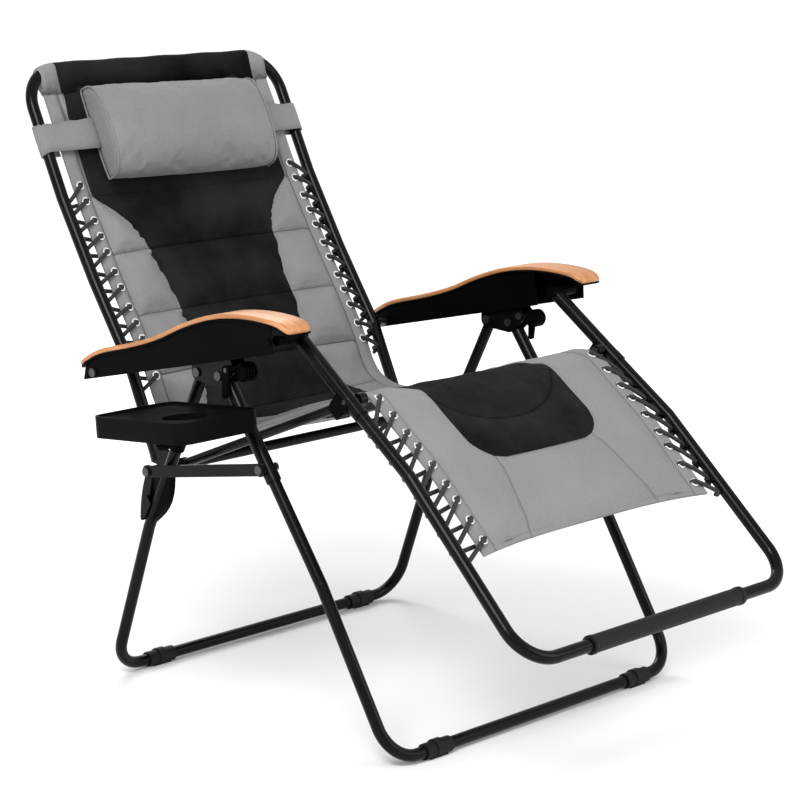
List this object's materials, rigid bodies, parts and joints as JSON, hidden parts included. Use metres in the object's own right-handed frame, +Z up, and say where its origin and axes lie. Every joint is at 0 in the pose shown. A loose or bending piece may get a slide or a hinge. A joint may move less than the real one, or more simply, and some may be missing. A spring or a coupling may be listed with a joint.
{
  "type": "zero gravity recliner",
  "caption": "Folding zero gravity recliner: laced fabric sling on two pivoting tube frames, wood-look armrests with lock levers, head pillow and clip-on side tray.",
  "frame": {"origin": "on the floor, under the middle of the bounding box; the chair's own mid plane is at x = +0.08635 because the side tray widens the right side", "axes": "+X to the sitter's left, -Y the way the sitter faces (feet), +Z up"},
  "size_m": [0.9632, 1.3094, 1.088],
  "materials": {
    "powder_black": "satin black powder coat on steel tube and plate",
    "plastic_black": "moulded black plastic",
    "tray_black": "moulded black plastic, finely grained",
    "rubber_black": "black rubber and textured foot grip",
    "cord_black": "black braided elastic cord",
    "bare_steel": "plated steel fasteners and grommets",
    "fabric_grey": "grey woven mesh fabric, padded",
    "fabric_black": "black woven mesh fabric, padded",
    "wood_look": "wood-look moulded strip, semi-gloss"
  },
  "bodies": {
    "front_legs": {"front_leg_frame": "powder_black", "front_leg_upper_left": "powder_black", "front_leg_upper_right": "powder_black", "front_feet": "rubber_black", "link_bolts": "bare_steel"},
    "brackets": {"lock_bracket_left": "powder_black", "lock_bracket_right": "powder_black", "bracket_bolts": "bare_steel", "lock_housings": "plastic_black", "slide_blocks": "plastic_black"},
    "rear_legs": {"rear_leg_frame": "powder_black", "rear_leg_fins": "plastic_black", "rear_feet": "rubber_black", "tray_bracket": "plastic_black"},
    "lever_left": {"lock_lever_left": "plastic_black"},
    "lever_right": {"lock_lever_right": "plastic_black"},
    "side_links": {"side_link_left": "powder_black", "side_link_right": "powder_black"},
    "rear_axle": {"rear_cross_tube": "powder_black", "cross_bolts": "bare_steel", "cross_spacers": "powder_black", "latch_hook_left": "powder_black", "latch_hook_right": "powder_black"},
    "back": {"back_frame": "powder_black", "back_knuckle_left": "powder_black", "back_knuckle_right": "powder_black", "back_sling": "fabric_grey", "back_lacing_left": "cord_black", "back_lacing_right": "cord_black", "back_grommets": "bare_steel"},
    "seat_bushes": {"seat_pivot_bushes": "bare_steel"},
    "seat": {"seat_bar_left": "powder_black", "seat_bar_right": "powder_black", "seat_sling": "fabric_black"},
    "knee_bolts": {"knee_pivot_bolts": "bare_steel"},
    "leg_rest": {"leg_rest_frame": "powder_black", "rest_sleeve_left": "powder_black", "rest_sleeve_right": "powder_black", "knee_clevis_left": "plastic_black", "knee_clevis_right": "plastic_black", "arm_knuckles": "plastic_black", "foot_grip": "rubber_black", "leg_sling": "fabric_grey", "leg_lacing_left": "cord_black", "leg_lacing_right": "cord_black", "leg_grommets": "bare_steel"},
    "arm_bolts": {"arm_pivot_bolts": "bare_steel"},
    "armrests": {"armrest_channel_left": "plastic_black", "armrest_channel_right": "plastic_black", "armrest_top_left": "wood_look", "armrest_top_right": "wood_look"},
    "pillow": {"head_pillow": "fabric_grey", "pillow_straps": "fabric_grey"},
    "tray": {"side_tray": "tray_black"}
  },
  "joints": [
    {"name": "fold", "type": "hinge", "parent": "front_legs", "child": "side_links", "pos_m": [0.08635, -0.07675, 0.457], "axis": [1, 0, 0], "range_deg": [-100, 0]},
    {"name": "fold_axle", "type": "hinge", "parent": "side_links", "child": "rear_axle", "pos_m": [0.08635, 0.21525, 0.405], "axis": [1, 0, 0], "range_deg": [0, 79.01]},
    {"name": "recline", "type": "hinge", "parent": "rear_axle", "child": "back", "pos_m": [0.08635, 0.21525, 0.405], "axis": [-1, 0, 0], "range_deg": [0, 33]},
    {"name": "fold_seat", "type": "hinge", "parent": "back", "child": "seat_bushes", "pos_m": [0.08635, 0.21525, 0.405], "axis": [1, 0, 0], "range_deg": [-68.02, 0]},
    {"name": "recline_seat", "type": "hinge", "parent": "seat_bushes", "child": "seat", "pos_m": [0.08635, 0.21525, 0.405], "axis": [-1, 0, 0], "range_deg": [-15.8, 0]},
    {"name": "fold_knee", "type": "hinge", "parent": "seat", "child": "knee_bolts", "pos_m": [0.08635, -0.23275, 0.588], "axis": [1, 0, 0], "range_deg": [0, 99.5]},
    {"name": "recline_leg_rest", "type": "hinge", "parent": "knee_bolts", "child": "leg_rest", "pos_m": [0.08635, -0.23275, 0.588], "axis": [-1, 0, 0], "range_deg": [0, 38.27]},
    {"name": "fold_arm", "type": "hinge", "parent": "back", "child": "arm_bolts", "pos_m": [0.08635, 0.34525, 0.565], "axis": [1, 0, 0], "range_deg": [-67.39, 0]},
    {"name": "recline_arm", "type": "hinge", "parent": "arm_bolts", "child": "armrests", "pos_m": [0.08635, 0.34525, 0.565], "axis": [-1, 0, 0], "range_deg": [-22.44, 0]},
    {"name": "fold_bracket", "type": "hinge", "parent": "front_legs", "child": "brackets", "pos_m": [0.08635, 0.02725, 0.601], "axis": [1, 0, 0], "range_deg": [-88.39, 0]},
    {"name": "fold_rear_leg", "type": "hinge", "parent": "brackets", "child": "rear_legs", "pos_m": [0.08635, 0.08225, 0.6], "axis": [1, 0, 0], "range_deg": [0, 30.39]},
    {"name": "lever_left_turn", "type": "hinge", "parent": "brackets", "child": "lever_left", "pos_m": [0.08635, -0.00075, 0.616], "axis": [-1, 0, 0], "range_deg": [0, 60]},
    {"name": "lever_right_turn", "type": "hinge", "parent": "brackets", "child": "lever_right", "pos_m": [0.08635, -0.00075, 0.616], "axis": [-1, 0, 0], "range_deg": [0, 60]},
    {"name": "pillow_slide", "type": "slide", "parent": "back", "child": "pillow", "axis": [0, 0.4463, 0.8949], "range_m": [-0.05, 0.01]},
    {"name": "tray_slide", "type": "slide", "parent": "rear_legs", "child": "tray", "axis": [-1, 0, 0], "range_m": [0, 0.1]}
  ],
  "couplings": [
    {"joint": "fold_axle", "follows": "fold", "ratio": -0.79},
    {"joint": "fold_seat", "follows": "fold", "ratio": 0.6801},
    {"joint": "fold_knee", "follows": "fold", "ratio": -0.9949},
    {"joint": "fold_arm", "follows": "fold", "ratio": 0.6738},
    {"joint": "fold_bracket", "follows": "fold", "ratio": 0.8838},
    {"joint": "fold_rear_leg", "follows": "fold", "ratio": -0.3038},
    {"joint": "recline_seat", "follows": "recline", "ratio": -0.4785},
    {"joint": "recline_leg_rest", "follows": "recline", "ratio": 1.1594},
    {"joint": "recline_arm", "follows": "recline", "ratio": -0.6797}
  ]
}
